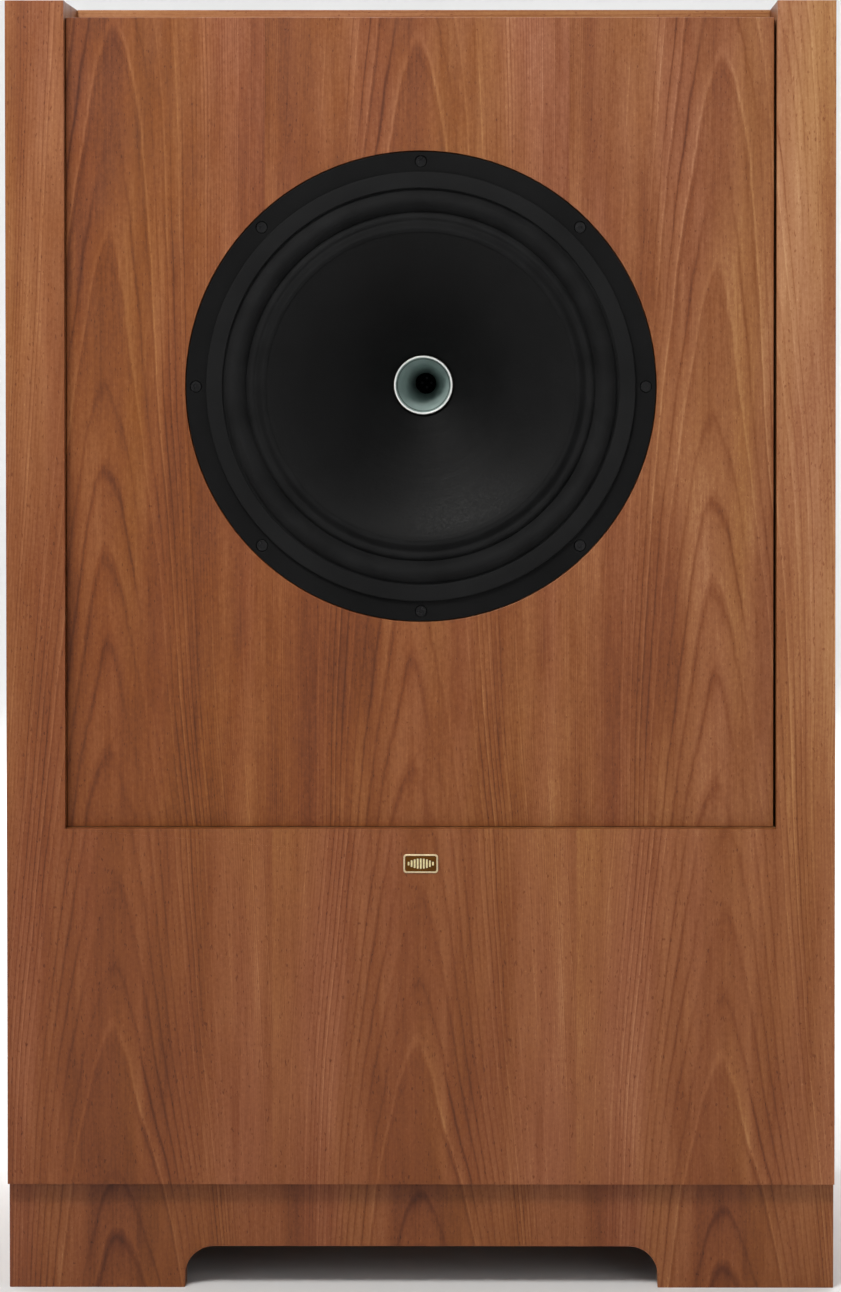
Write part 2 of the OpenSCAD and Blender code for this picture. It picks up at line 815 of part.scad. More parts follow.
module inductors() {
    color("#b87333") for (x = [-70, 20]) {
        translate([x, board_y + 45, board_top_z]) difference() {
            cylinder(r = inductor_r, h = inductor_h);
            translate([0, 0, -cut]) cylinder(r = 14, h = inductor_h + 2 * cut);
        }
    }
}

module capacitors() {
    color("gold") for (x = [-90, -20, 50]) {
        translate([x, board_y + 120, board_top_z + capacitor_r]) rotate([0, 90, 0])
            cylinder(r = capacitor_r, h = capacitor_length);
    }
}

// ---------- terminals ----------

// Puts the children at the four screws of the cup's lip
module cup_screw_places() {
    for (sx = [-1, 1], sz = [-1, 1]) {
        translate([sx * (cup_w / 2 + cup_lip / 2 + 1), 0, sz * (cup_h / 2 + cup_lip / 2 + 1)])
            children();
    }
}

module terminal_cup() {
    color("#151517") translate([0, 0, cup_z]) difference() {
        union() {
            rounded_block(cup_w + 2 * cup_lip - 1, cup_h + 2 * cup_lip - 1, back_y - cup_wall,
                back_y, 7.5);
            block([-cup_w / 2 - cup_wall + 0.5, cup_floor_y - cup_wall, -cup_h / 2 - cup_wall + 0.5],
                [cup_w / 2 + cup_wall - 0.5, back_y - cup_wall + 0.1, cup_h / 2 + cup_wall - 0.5]);
        }
        rounded_block(cup_w, cup_h, cup_floor_y, back_y + cut, 8);
        cup_screw_places() back_screw_hole(0, back_y, 0, 2 * cup_wall, cup_screw_r);
        for (sx = [-1, 1]) {
            rod_y([sx * post_spacing / 2, cup_floor_y - cup_wall - cut, 0], stud_r, cup_wall + 2 * cut);
        }
    }
}

module cup_screws() {
    color("#3a3a3c") translate([0, 0, cup_z]) cup_screw_places()
        back_screw(0, back_y, 0, 16, cup_screw_r);
}

module post_studs() {
    tail = 16;
    color("gold") for (sx = [-1, 1]) {
        translate([sx * post_spacing / 2, cup_floor_y, cup_z]) {
            difference() {
                union() {
                    rod_y([0, -tail, 0], stud_r, tail + stud_length);
                    rod_y([0, 0, 0], cap_r, post_base_t);
                    rod_y([0, -cup_wall - 4, 0], 7, 4, 6);
                }
                rod_y([0, stud_length - socket_length, 0], socket_r, socket_length + cut);
            }
        }
    }
}

// The threaded brass insert that rides up the stud as its cap turns
module post_insert(sx) {
    color("gold") translate([sx * post_spacing / 2, cup_floor_y, cup_z]) difference() {
        rod_y([0, cap_start + 0.6, 0], insert_r, cap_length - cap_nose_t - 1.2);
        rod_y([0, 0, 0], stud_r + insert_clearance, cap_length + cap_start);
    }
}

module post_cap(sx, tint) {
    flutes = 18;
    color(tint) translate([sx * post_spacing / 2, cup_floor_y + cap_start, cup_z])
        rotate([-90, 0, 0]) difference() {
            cylinder(r = cap_r, h = cap_length, $fn = 96);
            translate([0, 0, -cut])
                cylinder(r = insert_r + insert_clearance, h = cap_length - cap_nose_t + cut);
            cylinder(r = stud_r + 0.6, h = cap_length + cut);
            around(flutes, cap_r + 0.4) translate([0, 0, 3])
                cylinder(r = 1, h = cap_length, $fn = 16);
        }
}

// ---------- wires ----------

module input_wires() {
    start_z = cup_z - stud_r - wire_r;
    end_z = board_top_z + wire_r;
    color("firebrick") wire(bezier([post_spacing / 2, tail_y, start_z], [50, tail_y, 190],
        [104, 158, 160], [112, 152, end_z], 12), wire_r);
    color("black") wire(bezier([-post_spacing / 2, tail_y, start_z], [-50, tail_y, 190],
        [-104, 158, 160], [-112, 152, end_z], 12), wire_r);
}

module driver_wires() {
    tag_y = face_y + strip_depth + 9 + wire_r;
    colors = ["firebrick", "black", "royalblue", "white"];
    for (i = [0 : 3]) {
        color(colors[i]) wire(bezier([tag_x[i], tag_y, terminal_strip_z + 4],
            [tag_x[i], tag_y, 380], [tag_x[i] * 1.6, 20, 300],
            [-80 + 45 * i, board_y + 4, board_top_z + wire_r], 16), wire_r);
    }
}

// ---------- assembly ----------

front_frame();
mirror([1, 0, 0]) side_panel();  // left_side
side_panel();  // right_side
top_panel();
top_lipping();
mirror([1, 0, 0]) post();  // left_post
post();  // right_post
top_ledge();
bottom_panel();
back_panel();
back_cleats();
back_screws();
baffle();
baffle_cleats();
lower_panel();
cross_braces();
plinth_front();
mirror([1, 0, 0]) plinth_side();  // plinth_left
plinth_side();  // plinth_right
plinth_back();
plinth_blocks();
side_lining();
back_lining();
badge_plate();
chassis();
surround_ring();
chassis_gasket();
driver_bolts();
t_nuts();
top_plate();
lf_magnet();
back_plate();
hf_horn();
phase_plug();
hf_pole();
hf_magnet();
hf_top_plate();
hf_mount_ring();
rear_cover();
cover_screws();
driver_terminals();
cone();
coil_former();
lf_coil();
surround();
spider();
hf_diaphragm();
hf_coil();
crossover_board();
inductors();
capacitors();
terminal_cup();
cup_screws();
post_studs();
post_insert(1);  // red_insert
post_cap(1, "crimson");  // red_cap
post_insert(-1);  // black_insert
post_cap(-1, "#202022");  // black_cap
input_wires();
driver_wires();
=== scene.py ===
import math

import bpy
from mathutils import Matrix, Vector, noise


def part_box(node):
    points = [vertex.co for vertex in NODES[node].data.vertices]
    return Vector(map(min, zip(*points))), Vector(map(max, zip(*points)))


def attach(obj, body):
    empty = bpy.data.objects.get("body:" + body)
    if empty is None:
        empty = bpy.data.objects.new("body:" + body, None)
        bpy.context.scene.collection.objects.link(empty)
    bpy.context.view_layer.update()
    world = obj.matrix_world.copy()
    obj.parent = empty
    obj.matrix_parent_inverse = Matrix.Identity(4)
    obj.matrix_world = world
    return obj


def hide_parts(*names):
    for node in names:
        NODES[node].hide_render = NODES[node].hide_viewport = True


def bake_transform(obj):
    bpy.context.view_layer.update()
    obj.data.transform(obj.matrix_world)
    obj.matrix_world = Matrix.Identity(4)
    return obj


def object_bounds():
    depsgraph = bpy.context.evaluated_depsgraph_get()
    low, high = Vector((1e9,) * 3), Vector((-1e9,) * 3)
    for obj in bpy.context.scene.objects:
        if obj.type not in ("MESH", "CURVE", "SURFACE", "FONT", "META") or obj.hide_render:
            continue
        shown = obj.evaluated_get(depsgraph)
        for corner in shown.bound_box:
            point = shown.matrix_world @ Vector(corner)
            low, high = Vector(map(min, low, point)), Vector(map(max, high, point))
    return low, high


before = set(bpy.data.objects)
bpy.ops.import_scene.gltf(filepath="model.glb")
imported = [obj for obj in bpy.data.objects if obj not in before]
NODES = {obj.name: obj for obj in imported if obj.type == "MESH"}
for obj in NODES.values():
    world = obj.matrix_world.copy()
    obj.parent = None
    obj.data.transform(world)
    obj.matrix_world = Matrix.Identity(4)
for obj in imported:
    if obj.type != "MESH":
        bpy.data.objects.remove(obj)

CAD_LOW, CAD_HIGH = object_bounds()
MM = 0.001


# ---------- places worked out from the frame ----------

FRONT_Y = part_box("front_frame")[0].y
DRIVER_Z = sum(corner.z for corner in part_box("chassis")) / 2
HORN_MOUTH_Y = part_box("hf_horn")[0].y
HORN_RADIUS = (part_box("hf_horn")[1].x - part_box("hf_horn")[0].x) / 2
GROOVE_RADIUS = HORN_RADIUS - 2.7 * MM
CONE_RADIUS = (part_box("cone")[1].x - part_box("cone")[0].x) / 2
CABINET_H = CAD_HIGH.z - CAD_LOW.z


# ---------- camera, lights and floor ----------

SENSOR_MM = 36
CAMERA_DISTANCE = 3.0
CAMERA_X = 0.086
CAMERA_Z = 0.800
SHIFT_X = -0.07
SHIFT_Y = -0.20
FRAME_MARGIN = 0.998    # the picture's height at the front, in heights of the cabinet
AIM_RISE = 0.0018       # how far above the cabinet's middle the picture's middle is


def make_camera():
    """The photograph's eye point: a little right of the middle, near the top of the cabinet."""
    data = bpy.data.cameras.new("camera")
    camera = bpy.data.objects.new("camera", data)
    bpy.context.scene.collection.objects.link(camera)
    seen_height = CABINET_H * FRAME_MARGIN
    data.sensor_width = SENSOR_MM
    data.lens = SENSOR_MM * CAMERA_DISTANCE / seen_height
    data.shift_x = SHIFT_X
    data.shift_y = SHIFT_Y
    data.dof.use_dof = False
    camera.location = (CAMERA_X, FRONT_Y - CAMERA_DISTANCE, CAMERA_Z)
    aim = Vector((-SHIFT_X * seen_height, FRONT_Y,
                  CABINET_H / 2 - SHIFT_Y * seen_height + AIM_RISE))
    camera.rotation_euler = (aim - camera.location).to_track_quat("-Z", "Y").to_euler()
    bpy.context.scene.camera = camera


def area_light(name, place, aim, size, power, colour=(1, 1, 1)):
    """A soft rectangular lamp at a place, turned towards a point."""
    data = bpy.data.lights.new(name, "AREA")
    data.shape = "RECTANGLE"
    data.size, data.size_y = size
    data.energy = power
    data.color = colour
    lamp = bpy.data.objects.new(name, data)
    bpy.context.scene.collection.objects.link(lamp)
    lamp.location = place
    lamp.rotation_euler = (Vector(aim) - Vector(place)).to_track_quat("-Z", "Y").to_euler()


def make_lights():
    """A key high on the left, two weak fills, a lamp behind, and washes for the floor's sweep."""
    area_light("key", (-0.62, -1.6, 2.35), (0.1, FRONT_Y, 0.8), (0.9, 0.7), 48, (1.0, 0.985, 0.96))
    area_light("right_fill", (1.7, -3.0, 1.5), (0.2, FRONT_Y, 0.8), (1.8, 1.8), 11)
    area_light("left_fill", (-2.2, -2.4, 1.2), (0, FRONT_Y, 0.6), (1.2, 1.8), 3)
    area_light("rear", (0.8, 3.0, 2.6), (0, 0.2, 0.6), (2.4, 1.8), 70)
    for side in (-1, 1):
        area_light("backdrop", (2.0 * side, 0.8, 2.6), (3.0 * side, 4.0, 0.2), (1.6, 1.6), 150)
        area_light("side_wall", (2.2 * side, 0.3, 2.8), (6.0 * side, -1.0, 0.8), (1.6, 1.6), 60)
        area_light("front_wall", (1.9 * side, -0.9, 2.8), (3.2 * side, -5.5, 0.6), (1.6, 1.6), 20)


def make_world():
    """A dim even light from everywhere, and colours shown as they are."""
    world = bpy.data.worlds.new("studio")
    world.use_nodes = True
    background = world.node_tree.nodes["Background"]
    background.inputs["Color"].default_value = (1, 1, 1, 1)
    background.inputs["Strength"].default_value = 0.1
    bpy.context.scene.world = world
    bpy.context.scene.view_settings.view_transform = "Standard"


def make_floor():
    """A pale sweep: flat under the object and curving up far behind and beside it."""
    flat, rise, sides, rings = 4.0, 6.0, 64, 24
    points, faces = [(0, 0, 0)], []
    for ring in range(1, rings + 1):
        share = ring / rings
        reach = flat * 2 * share
        lift = max(0.0, reach - flat) / flat
        for side in range(sides):
            angle = math.tau * side / sides
            points.append((reach * math.cos(angle), reach * math.sin(angle), rise * lift ** 3))
    for side in range(sides):
        faces.append((0, 1 + side, 1 + (side + 1) % sides))
        for ring in range(rings - 1):
            a = 1 + ring * sides + side
            b = 1 + ring * sides + (side + 1) % sides
            faces.append((a, a + sides, b + sides, b))
    floor = mesh_object("floor", points, faces, smooth=180)
    paint = Shader("pale_floor", roughness=0.9)
    cloud = paint.noise(paint.place, 3, detail=3)
    paint.colour(paint.ramp(cloud, [(0.3, (0.79, 0.79, 0.79)), (0.7, (0.82, 0.82, 0.82))]))
    floor.data.materials.append(paint.material)


# ---------- mesh helpers ----------

def mesh_object(name, points, faces, smooth):
    """A mesh object whose edges stay sharp where its faces meet above that angle in degrees."""
    mesh = bpy.data.meshes.new(name)
    mesh.from_pydata(points, [], faces)
    mesh.update()
    mesh.shade_smooth()
    mesh.set_sharp_from_angle(angle=math.radians(smooth))
    made = bpy.data.objects.new(name, mesh)
    bpy.context.scene.collection.objects.link(made)
    return made


def lathe(name, profile, segments, smooth):
    """Turns a closed list of (radius, y) round the driver's axis."""
    count = len(profile)
    points = []
    for side in range(segments):
        angle = math.tau * side / segments
        for radius, y in profile:
            points.append((radius * math.cos(angle), y, DRIVER_Z + radius * math.sin(angle)))
    faces = []
    for side in range(segments):
        for k in range(count):
            a = side * count + k
            b = side * count + (k + 1) % count
            c = (a + count) % len(points)
            d = (b + count) % len(points)
            faces.append((a, b, d, c))
    return mesh_object(name, points, faces, smooth)


def cad_rings(node):
    """The (radius, y) pairs of a turned CAD node's corners, sorted by radius."""
    found = set()
    for vertex in NODES[node].data.vertices:
        x, y, z = vertex.co
        found.add((round(math.hypot(x, z - DRIVER_Z), 4), round(y, 4)))
    return sorted(found)


def front_and_back(node):
    """A turned sheet's profile: its front from the inside out, then its back from the outside in."""
    front, back = {}, {}
    for radius, y in cad_rings(node):
        front[radius] = min(y, front.get(radius, y))
        back[radius] = max(y, back.get(radius, y))
    return [(r, front[r]) for r in sorted(front)], [(r, back[r]) for r in sorted(back)]


def resample(points, count):
    """Evenly spaced points on a smooth curve through a list of (radius, y)."""
    spans = [math.dist(points[i], points[i + 1]) for i in range(len(points) - 1)]
    total = sum(spans)
    made = []
    for k in range(count):
        target = total * k / (count - 1)
        i = 0
        while i < len(spans) - 1 and target > spans[i]:
            target -= spans[i]
            i += 1
        t = min(1.0, target / max(spans[i], 1e-9))
        p = [points[min(max(j, 0), len(points) - 1)] for j in range(i - 1, i + 3)]
        made.append(tuple(catmull(t, *(q[axis] for q in p)) for axis in (0, 1)))
    return made


def catmull(t, a, b, c, d):
    """The value at t from 0 to 1 between b and c, on a smooth curve that also suits a and d."""
    return 0.5 * (2 * b + (c - a) * t + (2 * a - 5 * b + 4 * c - d) * t * t
                  + (3 * b - a - 3 * c + d) * t ** 3)


def finish_piece(piece, body, slot, material, *nodes):
    """Gives a new piece its material and its body, and hides the CAD nodes that it stands for. slot
    is not used.
    """
    piece.data.materials.clear()
    piece.data.materials.append(material)
    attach(piece, body)
    if nodes:
        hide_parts(*nodes)


SHARP_ANGLE = 40


def soften_edges(node, width):
    """Rounds a carried-over CAD node's edges a little, as sanding or moulding does."""
    piece = NODES[node]
    weld = piece.modifiers.new("weld", "WELD")
    weld.merge_threshold = 0.01 * MM
    bevel = piece.modifiers.new("edge", "BEVEL")
    bevel.width = width
    bevel.segments = 2
    bevel.limit_method = "ANGLE"
    bevel.angle_limit = math.radians(SHARP_ANGLE)
    bevel.harden_normals = True
    bevel.miter_outer = "MITER_ARC"


# ---------- shader helpers ----------

def linear(red, green, blue):
    """An sRGB colour, each 0 to 255, as the linear values that shaders take."""
    def one(value):
        value /= 255
        return value / 12.92 if value <= 0.04045 else ((value + 0.055) / 1.055) ** 2.4
    return one(red), one(green), one(blue)


class Shader:
    """A material's node tree, with short ways to add nodes and join them."""

    def __init__(self, name, roughness=0.5, metallic=0.0, specular=0.5):
        self.material = bpy.data.materials.new(name)
        self.material.use_nodes = True
        self.tree = self.material.node_tree
        self.surface = self.tree.nodes["Principled BSDF"]
        self.surface.inputs["Roughness"].default_value = roughness
        self.surface.inputs["Metallic"].default_value = metallic
        self.surface.inputs["Specular IOR Level"].default_value = specular
        self.place = self.tree.nodes.new("ShaderNodeTexCoord").outputs["Object"]

    def put(self, socket, value):
        """Links another node's output to a socket, or sets a plain value on it."""
        if isinstance(value, bpy.types.NodeSocket):
            self.tree.links.new(value, socket)
        else:
            socket.default_value = value

    def node(self, kind, *values, **settings):
        made = self.tree.nodes.new("ShaderNode" + kind)
        for key, value in settings.items():
            setattr(made, key, value)
        for socket, value in zip(made.inputs, values):
            if value is not None:
                self.put(socket, value)
        return made

    def math(self, operation, *values):
        return self.node("Math", *values, operation=operation).outputs[0]

    def split(self, vector):
        return self.node("SeparateXYZ", vector).outputs

    def join(self, x, y, z):
        return self.node("CombineXYZ", x, y, z).outputs[0]

    def scaled(self, vector, *factors):
        return self.node("VectorMath", vector, factors, operation="MULTIPLY").outputs[0]

    def noise(self, vector, scale, detail=2.0, roughness=0.5, distortion=0.0):
        made = self.node("TexNoise")
        self.put(made.inputs["Vector"], vector)
        made.inputs["Scale"].default_value = scale
        made.inputs["Detail"].default_value = detail
        made.inputs["Roughness"].default_value = roughness
        made.inputs["Distortion"].default_value = distortion
        return made.outputs["Fac"]

    def ramp(self, factor, stops, mode="LINEAR"):
        made = self.node("ValToRGB", factor)
        made.color_ramp.interpolation = mode
        while len(made.color_ramp.elements) < len(stops):
            made.color_ramp.elements.new(0.5)
        for element, (position, colour) in zip(made.color_ramp.elements, stops):
            element.position = position
            element.color = (*colour, 1) if isinstance(colour, tuple) else (colour,) * 3 + (1,)
        return made.outputs["Color"]

    def remap(self, value, low, high, out_low, out_high):
        return self.node("MapRange", value, low, high, out_low, out_high).outputs[0]

    def mix(self, factor, a, b, blend="MIX"):
        made = self.node("Mix", data_type="RGBA", blend_type=blend)
        self.put(made.inputs[0], factor)
        for socket, value in ((made.inputs[6], a), (made.inputs[7], b)):
            self.put(socket, (*value, 1) if isinstance(value, tuple) else value)
        return made.outputs[2]

    def colour(self, value):
        self.put(self.surface.inputs["Base Color"], value)

    def roughness(self, noise_value, low, high):
        """Noise stays mostly between 0.3 and 0.7, so those become the ends."""
        self.put(self.surface.inputs["Roughness"], self.remap(noise_value, 0.3, 0.7, low, high))

    def bump(self, height, distance, strength=1.0):
        made = self.node("Bump")
        made.inputs["Strength"].default_value = strength
        made.inputs["Distance"].default_value = distance
        self.put(made.inputs["Height"], height)
        self.put(self.surface.inputs["Normal"], made.outputs[0])


# ---------- walnut ----------

WALNUT_TONES = [
    (0.00, linear(58, 24, 8)),
    (0.25, linear(94, 48, 21)),
    (0.45, linear(121, 68, 33)),
    (0.62, linear(142, 90, 53)),
    (0.80, linear(167, 119, 78)),
    (1.00, linear(196, 154, 110)),
]
LEAF_W = 0.25           # one leaf of veneer
SLICE_SHIFT = 0.013     # how far the figure moves along from one leaf to the next
PITH = 0.010            # how blunt the cathedrals' points are
RING = 0.016            # the growth rings' spacing
LEG_START = 0.062       # how far from the pith the rings begin to crowd into straight legs
CORE_W = 0.034          # the darker middle of a leaf


def walnut(name, axes, leaf_start=-0.122, seed=0.0, tone=0.0, arch=0.27, contrast=1.0, painted_light_across=0.0,
           rise=0.0, painted_sheen=None):
    """Plain-sliced walnut veneer laid slip-matched. axes names the directions across the grain,
    along it and into the board, and arch is how fast the cathedrals climb. The last three arguments
    paint light into the colour: the first two are how much lighter the wood is made across and along
    the board, as painted light, and the third gives a painted sheen that pales the wood towards the
    top: how much the way across counts beside the height, and the blue it keeps at each end."""
    s = Shader(name, roughness=0.42, specular=0.3)
    parts = dict(zip("XYZ", s.split(s.place)))
    across, along, into = (parts[axis] for axis in axes)

    # Each leaf repeats the one beside it, sliced a little deeper.
    steps = s.math("FLOOR", s.math("DIVIDE", s.math("SUBTRACT", across, leaf_start), LEAF_W))
    start = s.math("MULTIPLY_ADD", steps, LEAF_W, leaf_start + LEAF_W / 2)
    leaf_x = s.math("SUBTRACT", across, start)
    climb = s.math("ADD", along, s.math("MULTIPLY", steps, SLICE_SHIFT))
    spot = s.join(leaf_x, climb, s.math("ADD", into, seed))

    band, gleam, core = growth_rings(s, spot, leaf_x, climb, arch)
    value = s.math("MULTIPLY_ADD", band, 0.40 * contrast, 0.5 + tone)
    value = s.math("MULTIPLY_ADD", core, -0.06 * contrast, value)
    value = s.math("MULTIPLY_ADD", gleam, contrast, value)
    value, fibre, pore = add_streaks(s, spot, value, contrast)
    # Painted light: the wood is made lighter across the board and up it, standing in for how the
    # lamps fall on it.
    value = s.math("MULTIPLY_ADD", across, painted_light_across, value)
    value = s.math("MULTIPLY_ADD", along, rise, value)

    # Some stretches are rosier, others more golden.
    hue = s.noise(s.scaled(spot, 17, 1.8, 17), 1.0, detail=2)
    warm = s.ramp(hue, [(0.34, (1.02, 1.02, 0.82)), (0.66, (1.0, 0.93, 1.08))])
    colour = s.mix(1.0, s.ramp(value, WALNUT_TONES), warm, blend="MULTIPLY")
    # Painted sheen: the wood is paled and made less orange towards its top and, as weighed, across
    # the board, standing in for the lamp's gloss on the finish.
    if painted_sheen:
        slant, unsheened_blue, sheen_blue = painted_sheen
        sheen_share = s.remap(s.math("MULTIPLY_ADD", across, slant, along), 0.3, 1.2, 0, 1)
        sheen_tint = s.ramp(sheen_share, [(0.0, (1.0, 0.97, unsheened_blue)), (1.0, (1.0, 1.06, sheen_blue))])
        colour = s.mix(1.0, colour, sheen_tint, blend="MULTIPLY")
    s.colour(colour)

    s.roughness(s.noise(s.scaled(spot, 60, 20, 60), 1.0, detail=3), 0.36, 0.50)
    grain = s.math("MULTIPLY_ADD", pore, -1.2, s.math("MULTIPLY_ADD", fibre, 0.5, band))
    s.bump(grain, 0.12 * MM, strength=0.55)
    return s.material


def growth_rings(s, spot, leaf_x, climb, arch):
    """Pointed arches over the pith, whose legs run nearly straight up the leaf. Gives the rings'
    tone, the light lines beside some of them, and the leaf's darker middle."""
    drift = s.noise(s.scaled(spot, 4.0, 1.6, 4.0), 1.0, detail=1)
    jag = s.noise(s.scaled(spot, 40, 9, 40), 1.0, detail=3, roughness=0.5)
    centre = s.math("MULTIPLY_ADD", s.math("SUBTRACT", drift, 0.5), 0.04, leaf_x)
    reach = s.math("SQRT", s.math("ADD", s.math("POWER", centre, 2), PITH ** 2))
    crowding = s.math("POWER", s.math("DIVIDE", reach, LEG_START), 2)
    reach = s.math("MULTIPLY", reach, s.math("MULTIPLY_ADD", crowding, 0.9, 1.0))
    rings = s.math("DIVIDE", s.math("MULTIPLY_ADD", climb, arch, reach), RING)
    rings = s.math("MULTIPLY_ADD", s.math("SUBTRACT", jag, 0.5), 0.7, rings)
    rings = s.math("MULTIPLY_ADD", drift, 3.0, rings)
    number = s.math("FLOOR", rings)
    within = s.math("FRACT", rings)

    weight = s.node("TexWhiteNoise", None, number, noise_dimensions="1D").outputs["Value"]
    dark_line = s.ramp(within, [(0.0, 0.34), (0.12, 0.5), (0.5, 0.5), (0.72, 0.4), (0.90, 0.12),
                                (1.0, 0.34)], mode="EASE")
    light_line = s.ramp(within, [(0.0, 0.0), (0.14, 1.0), (0.3, 0.2), (0.5, 0.0)], mode="EASE")
    band = s.math("MULTIPLY", s.math("SUBTRACT", dark_line, 0.42), s.remap(weight, 0, 1, 0.1, 1.4))
    fade = s.noise(s.scaled(spot, 22, 2.4, 22), 1.0, detail=1)
    band = s.math("MULTIPLY", band, s.remap(fade, 0.36, 0.62, 0.25, 1.2))
    gleam = s.math("MULTIPLY", light_line, s.remap(weight, 0.6, 1, 0, 0.12))
    core = s.math("POWER", s.math("DIVIDE", centre, CORE_W), 2)
    core = s.math("EXPONENT", s.math("MULTIPLY", core, -1.0))
    return band, gleam, core


def add_streaks(s, spot, value, contrast):
    """Adds streaks along the grain, from broad clouds of colour down to single fibres and pores, with
    painted highlights as tiny bright specks.
    Gives the new value, the fibres and the pores."""
    cloud = s.noise(s.scaled(spot, 12, 1.3, 12), 1.0, detail=2)
    blotch = s.noise(s.scaled(spot, 34, 5, 34), 1.0, detail=3)
    streak = s.noise(s.scaled(spot, 90, 2.6, 90), 1.0, detail=3, roughness=0.55)
    fibre = s.noise(s.scaled(spot, 620, 26, 620), 1.0, detail=3, roughness=0.65)
    mottle = s.noise(s.scaled(spot, 420, 260, 420), 1.0, detail=3, roughness=0.6)
    layers = ((cloud, 0.48), (blotch, 0.34), (streak, 0.32), (fibre, 0.22), (mottle, 0.22))
    for source, amount in layers:
        value = s.math("MULTIPLY_ADD", s.math("SUBTRACT", source, 0.5), amount * contrast, value)
    pore = s.remap(s.noise(s.scaled(spot, 760, 230, 760), 1.0, detail=0), 0.75, 0.80, 0, 1)
    # Painted highlights: tiny bright specks that stand in for glints of light off the pores.
    pore_glint = s.remap(s.noise(s.scaled(spot, 1000, 400, 1000), 1.0, detail=0), 0.73, 0.80, 0, 1)
    value = s.math("MULTIPLY_ADD", pore, -0.16, value)
    value = s.math("MULTIPLY_ADD", pore_glint, 0.08, value)
    return value, fibre, pore


# ---------- other materials ----------

WARP_THREADS = 900
WEFT_PITCH = 0.9 * MM
WIRE_PITCH = 1.1 * MM


def plywood(name):
    """Bare birch ply: pale long streaks, with darker glue lines through the thickness."""
    s = Shader(name, roughness=0.7)
    streak = s.noise(s.scaled(s.place, 240, 240, 6), 1.0, detail=4, roughness=0.6)
    cloud = s.noise(s.place, 6, detail=2)
    value = s.math("MULTIPLY_ADD", streak, 0.6, s.math("MULTIPLY", cloud, 0.4))
    s.colour(s.ramp(value, [(0.3, linear(166, 130, 88)), (0.7, linear(206, 176, 132))]))
    s.roughness(streak, 0.6, 0.8)
    s.bump(streak, 0.2 * MM, strength=0.5)
    return s.material


def painted(name, colour, roughness, grain=900, depth=0.06 * MM, wear=0.15, specular=0.5):
    """Paint or moulded plastic: a fine orange-peel skin with small changes of tone and gloss."""
    s = Shader(name, roughness=roughness, specular=specular)
    cloud = s.noise(s.place, 18, detail=3)
    skin = s.noise(s.place, grain, detail=2)
    low = tuple(c * (1 - wear) for c in colour)
    high = tuple(c * (1 + wear) for c in colour)
    s.colour(s.ramp(cloud, [(0.3, low), (0.7, high)]))
    s.roughness(s.noise(s.place, 60, detail=3), roughness - 0.06, roughness + 0.08)
    s.bump(skin, depth, strength=0.6)
    return s.material


def metal(name, colour, roughness):
    """Machined or plated metal with fine directional marks."""
    s = Shader(name, roughness=roughness, metallic=1.0)
    marks = s.noise(s.scaled(s.place, 40, 900, 40), 1.0, detail=4, roughness=0.7)
    cloud = s.noise(s.place, 25, detail=3)
    low = tuple(c * 0.88 for c in colour)
    high = tuple(min(1.0, c * 1.12) for c in colour)
    s.colour(s.ramp(cloud, [(0.3, low), (0.7, high)]))
    s.roughness(marks, roughness - 0.08, roughness + 0.12)
    s.bump(marks, 0.03 * MM, strength=0.4)
    return s.material


def radial_place(s):
    """A point's radius from the driver's axis, its angle round it in radians, and its depth."""
    x, y, z = s.split(s.place)
    up = s.math("SUBTRACT", z, DRIVER_Z)
    radius = s.math("SQRT", s.math("ADD", s.math("POWER", x, 2), s.math("POWER", up, 2)))
    turn = s.math("ARCTAN2", up, x)
    return radius, turn, y


def cone_paper():
    """Black pressed paper pulp: felted fibres, a soft sheen and faint moulding rings."""
    s = Shader("cone_paper", roughness=0.54, specular=0.12)
    radius, _, _ = radial_place(s)
    pulp = s.noise(s.place, 420, detail=4, roughness=0.62)
    fuzz = s.noise(s.place, 1700, detail=2, roughness=0.6)
    blot = s.noise(s.place, 24, detail=3)
    value = s.math("MULTIPLY_ADD", pulp, 0.55, s.math("MULTIPLY", blot, 0.45))
    s.colour(s.ramp(value, [(0.35, (0.0026, 0.0027, 0.0028)), (0.65, (0.0050, 0.0051, 0.0053))]))
    s.roughness(pulp, 0.46, 0.62)
    rings = s.math("SINE", s.math("MULTIPLY", radius, 2100))
    height = s.math("MULTIPLY_ADD", fuzz, 0.6, pulp)
    s.bump(s.math("MULTIPLY_ADD", rings, 0.05, height), 0.25 * MM, strength=0.5)
    return s.material


def doped_cloth(name, colour, roughness, glue_and_shade_radius=None):
    """Woven cloth filled with dope: a fine weave following the rings, half drowned in resin.
    The last argument is the radius inside which the cloth is darkened: partly the black glue over the
    cone's edge, partly painted shade in the hollow beside it."""
    s = Shader(name, roughness=roughness, specular=0.04)
    radius, turn, depth = radial_place(s)
    warp = s.math("SINE", s.math("MULTIPLY", turn, WARP_THREADS))
    weft = s.math("SINE", s.math("MULTIPLY", s.math("ADD", radius, depth), math.tau / WEFT_PITCH))
    weave = s.math("MULTIPLY", warp, weft)
    cloud = s.noise(s.place, 40, detail=3)
    low, high = tuple(c * 0.8 for c in colour), tuple(c * 1.25 for c in colour)
    cloth = s.ramp(cloud, [(0.3, low), (0.7, high)])
    # Darker inside a radius: partly glue at the cone's edge, partly painted shade in the hollow
    # between the cone and the roll.
    if glue_and_shade_radius:
        bare = s.remap(radius, glue_and_shade_radius - 1 * MM, glue_and_shade_radius + 3 * MM, 0.85, 1)
        cloth = s.mix(1.0, cloth, bare, blend="MULTIPLY")
    s.colour(cloth)
    s.roughness(cloud, roughness - 0.07, roughness + 0.1)
    s.bump(s.math("MULTIPLY_ADD", cloud, 2.0, weave), 0.06 * MM, strength=0.5)
    return s.material


